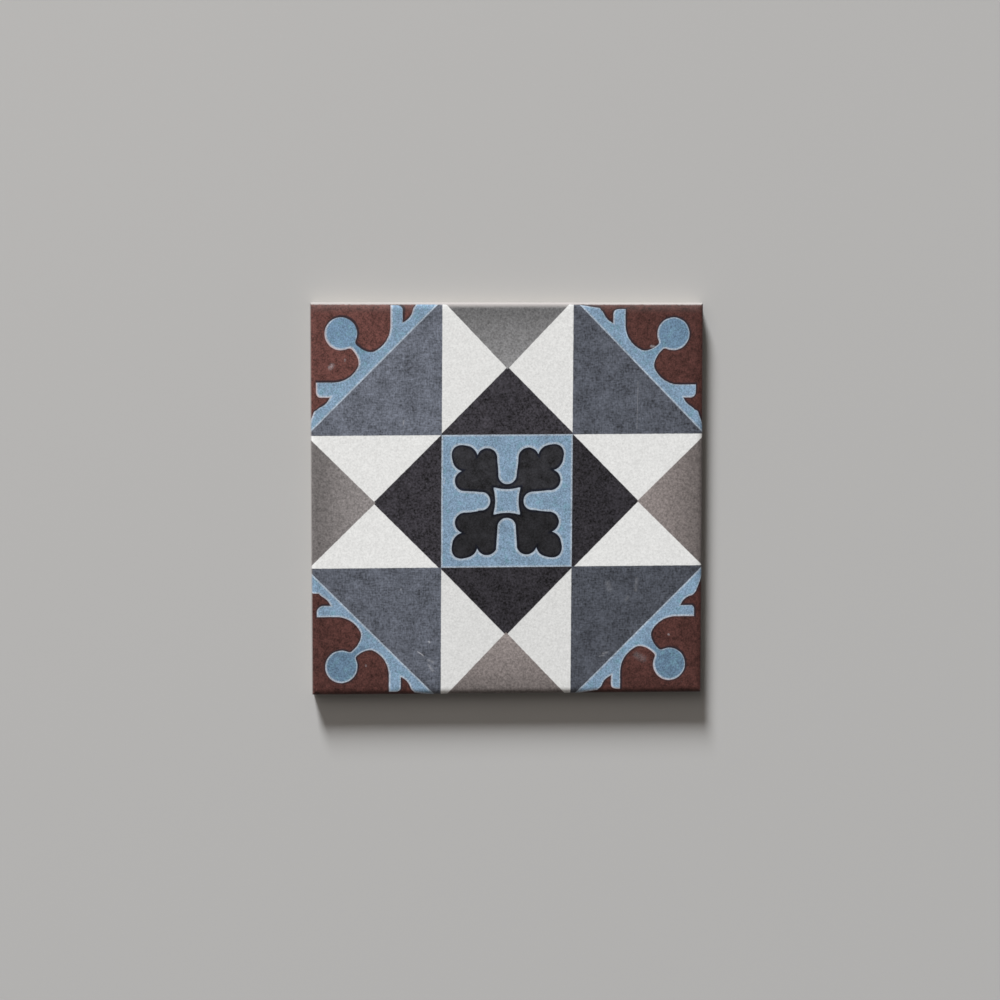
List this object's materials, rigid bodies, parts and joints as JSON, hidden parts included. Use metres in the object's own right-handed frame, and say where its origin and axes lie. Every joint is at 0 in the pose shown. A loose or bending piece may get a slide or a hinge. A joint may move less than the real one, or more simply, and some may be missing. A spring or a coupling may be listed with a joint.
{
  "type": "victorian tile",
  "caption": "Square fired ceramic tile with a pillowed edge, a keyed back and a printed face of a star, leaves and scrolls.",
  "frame": {"origin": "middle of the back, level with the ribs that the tile lies on", "axes": "+Z out of the printed face; +X and +Y along the edges, +Y towards the edge that is at the top of the picture"},
  "size_m": [0.2, 0.2, 0.009],
  "materials": {
    "fired_body": "unglazed fired body, matt, fine grain",
    "printed_face": "printed satin glaze with a fine orange peel"
  },
  "bodies": {
    "root": {"tile": "fired_body"}
  },
  "joints": []
}
